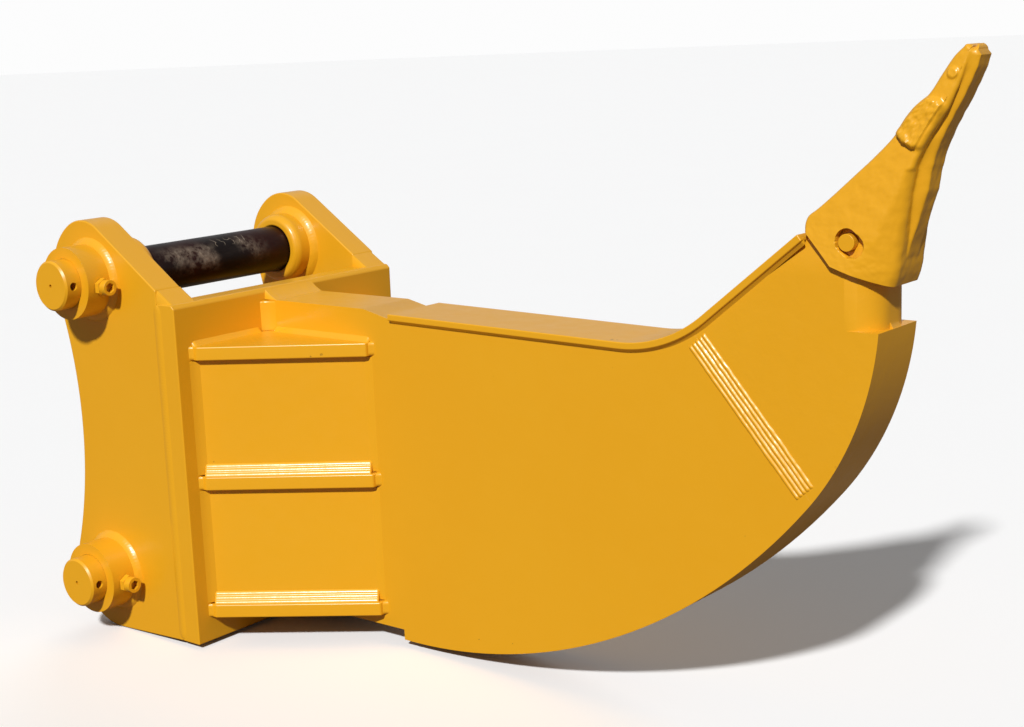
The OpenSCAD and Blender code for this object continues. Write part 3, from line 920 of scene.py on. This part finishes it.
    def cutter(self, bm, name):
        bmesh.ops.recalc_face_normals(bm, faces=bm.faces)
        me = bpy.data.meshes.new(name)
        bm.to_mesh(me)
        bm.free()
        ob = bpy.data.objects.new(name, me)
        bpy.context.scene.collection.objects.link(ob)
        return ob

    def recesses(self):
        """An oval pocket on each side, flared at its mouth."""
        bm = bmesh.new()
        turn = math.radians(-38)
        for s in (-1, 1):
            ring_v = bmesh.ops.create_circle(bm, cap_ends=True, segments=64, radius=15.5 * MM)["verts"]
            face = next(f for f in bm.faces if ring_v[0] in f.verts)
            for v in ring_v:
                v.co.x += math.copysign(5.5 * MM, v.co.x) if abs(v.co.x) > 1e-7 else 0.0
                x, z = v.co.x, v.co.y
                v.co = Vector((x * math.cos(turn) - z * math.sin(turn) + RECESS[0] * MM, s * 43 * MM,
                               x * math.sin(turn) + z * math.cos(turn) + RECESS[1] * MM))
            mid = Vector((RECESS[0] * MM, 0, RECESS[1] * MM))
            grown = 1.0
            for y, grow in ((60.0, 1.0), (66.0, 1.1), (90.0, 1.3)):
                new = bmesh.ops.extrude_face_region(bm, geom=[face])["geom"]
                face = next(g for g in new if isinstance(g, bmesh.types.BMFace))
                for v in face.verts:
                    flat = Vector((v.co.x, 0, v.co.z)) - mid
                    v.co = mid + flat * (grow / grown) + Vector((0, s * y * MM, 0))
                grown = grow
        return self.cutter(bm, "cut_recess")

    def pin_hole(self):
        bm = bmesh.new()
        r = 11.6 * MM
        bmesh.ops.create_cone(bm, cap_ends=True, segments=48, radius1=r, radius2=r, depth=0.2)
        bmesh.ops.rotate(bm, verts=bm.verts, matrix=Matrix.Rotation(math.pi / 2, 3, "X"))
        bmesh.ops.translate(bm, verts=bm.verts, vec=Vector((TOOTH_PIN[0] * MM, 0, TOOTH_PIN[1] * MM)))
        return self.cutter(bm, "cut_pin")

    def socket(self):
        """The nose, grown by a hair, so that the tooth is hollow like the real casting."""
        bm = bmesh.new()
        bm.from_mesh(NODES["nose"].data)
        bmesh.ops.remove_doubles(bm, verts=bm.verts, dist=1e-5)
        bmesh.ops.bisect_plane(bm, geom=bm.verts[:] + bm.edges[:] + bm.faces[:], dist=1e-6,
                               plane_co=(0, 0, 0.500), plane_no=(0, 0, -1), clear_outer=True)
        bmesh.ops.holes_fill(bm, edges=[e for e in bm.edges if e.is_boundary], sides=0)
        bmesh.ops.recalc_face_normals(bm, faces=bm.faces)
        bm.normal_update()
        moved = [(v, v.co + v.normal * 0.0009) for v in bm.verts]
        for v, co in moved:
            v.co = co
        return self.cutter(bm, "cut_socket")


# Camera place and its right and up directions
CAMERA_AT = (2.22321, -1.90793, 0.86246)
CAMERA_RIGHT = (0.77968994, 0.62496694, -0.03872869)
CAMERA_UP = (-0.09303713, 0.17679030, 0.97984146)


class RIPPER_OT_stage(bpy.types.Operator):
    """Floor, lamps and camera"""
    bl_idname = "ripper.stage"
    bl_label = "Stage"

    def execute(self, context):
        sc = context.scene
        st = sc.ripper_stage
        lo = CAD_BOX[0]
        bm = bmesh.new()
        bmesh.ops.create_circle(bm, cap_ends=True, segments=96, radius=60)
        bmesh.ops.translate(bm, vec=Vector((0.6, 0, lo.z - 0.0005)), verts=bm.verts)
        me = bpy.data.meshes.new("floor")
        bm.to_mesh(me)
        bm.free()
        floor = bpy.data.objects.new("floor", me)
        sc.collection.objects.link(floor)
        m, t, s = new_material("floor_paper")
        at = add(t, "ShaderNodeTexCoord").outputs["Object"]
        c = tuple(st.floor)
        pale = mix(t, maths(t, "MULTIPLY", texture(t, at, 2.5, 3), 0.5), c, tuple(0.98 * v for v in c))
        seen = add(t, "ShaderNodeLightPath").outputs["Is Camera Ray"]
        bounce = tuple(st.bounce * v for v in (1.0, 0.82, 0.58))
        link(t, mix(t, seen, bounce, pale), s.inputs["Base Color"])
        s.inputs["Roughness"].default_value = 1.0
        s.inputs["Specular IOR Level"].default_value = 0.0
        me.materials.append(m)

        def lamp(name, direction, power, angle):
            d = bpy.data.lights.new(name, "SUN")
            d.energy = power
            d.angle = angle
            ob = bpy.data.objects.new(name, d)
            sc.collection.objects.link(ob)
            ob.location = Vector(direction) * 4
            ob.rotation_mode = "QUATERNION"
            ob.rotation_quaternion = (-Vector(direction)).to_track_quat("-Z", "Y")
            return ob

        lamp("key", (0.30, -0.71, 0.635), st.key, st.softness)
        lamp("back", (-0.45, 0.80, 0.40), st.back, math.radians(40)).visible_glossy = False
        world = bpy.data.worlds.new("even_light")
        world.use_nodes = True
        sc.world = world
        t = world.node_tree
        fill = t.nodes["Background"]
        fill.inputs["Color"].default_value = (0.97, 0.985, 1.0, 1)
        fill.inputs["Strength"].default_value = st.sky
        path = add(t, "ShaderNodeLightPath")
        shiny = add(t, "ShaderNodeBackground")
        shiny.inputs["Color"].default_value = (0.40, 0.41, 0.42, 1)
        paper = add(t, "ShaderNodeBackground")
        paper.inputs["Color"].default_value = (0.98, 0.98, 0.98, 1)
        gloss = add(t, "ShaderNodeMixShader")
        link(t, path.outputs["Is Glossy Ray"], gloss.inputs["Fac"])
        link(t, fill.outputs["Background"], gloss.inputs[1])
        link(t, shiny.outputs["Background"], gloss.inputs[2])
        blend = add(t, "ShaderNodeMixShader")
        link(t, path.outputs["Is Camera Ray"], blend.inputs["Fac"])
        link(t, gloss.outputs["Shader"], blend.inputs[1])
        link(t, paper.outputs["Background"], blend.inputs[2])
        link(t, blend.outputs["Shader"], t.nodes["World Output"].inputs["Surface"])
        sc.view_settings.view_transform = "Standard"
        sc.view_settings.look = "None"

        cam = bpy.data.cameras.new("camera")
        cam.lens = 59.16
        cam.sensor_width = 36
        cam.clip_end = 200
        ob = bpy.data.objects.new("camera", cam)
        sc.collection.objects.link(ob)
        right, up = Vector(CAMERA_RIGHT), Vector(CAMERA_UP)
        turn = Matrix((right, up, right.cross(up))).transposed()
        ob.matrix_world = Matrix.Translation(CAMERA_AT) @ turn.to_4x4()
        sc.camera = ob
        return {"FINISHED"}


class RIPPER_PT_panel(bpy.types.Panel):
    """Lists the steps that dress the ripper"""
    bl_idname = "RIPPER_PT_panel"
    bl_label = "Ripper"
    bl_space_type = "VIEW_3D"
    bl_region_type = "UI"
    bl_category = "Ripper"

    def draw(self, context):
        for op in OPERATORS:
            self.layout.operator(op.bl_idname)
        for key in SETTINGS:
            group_of = getattr(context.scene, key)
            for prop in group_of.bl_rna.properties:
                if prop.identifier not in ("rna_type", "name"):
                    self.layout.prop(group_of, prop.identifier)


SETTINGS = {"ripper_paint": PaintSettings, "ripper_steel": SteelSettings,
            "ripper_weld": WeldSettings, "ripper_tooth": ToothSettings,
            "ripper_stage": StageSettings}
OPERATORS = (RIPPER_OT_materials, RIPPER_OT_frame, RIPPER_OT_welds, RIPPER_OT_tooth,
             RIPPER_OT_stage)


def register():
    for key, cls in SETTINGS.items():
        bpy.utils.register_class(cls)
        setattr(bpy.types.Scene, key, PointerProperty(type=cls))
    for cls in (*OPERATORS, RIPPER_PT_panel):
        bpy.utils.register_class(cls)


def unregister():
    for cls in (RIPPER_PT_panel, *reversed(OPERATORS)):
        bpy.utils.unregister_class(cls)
    for key, cls in SETTINGS.items():
        delattr(bpy.types.Scene, key)
        bpy.utils.unregister_class(cls)


def main():
    register()
    for op in OPERATORS:
        area, name = op.bl_idname.split(".")
        getattr(getattr(bpy.ops, area), name)()


if __name__ == "__main__":
    main()
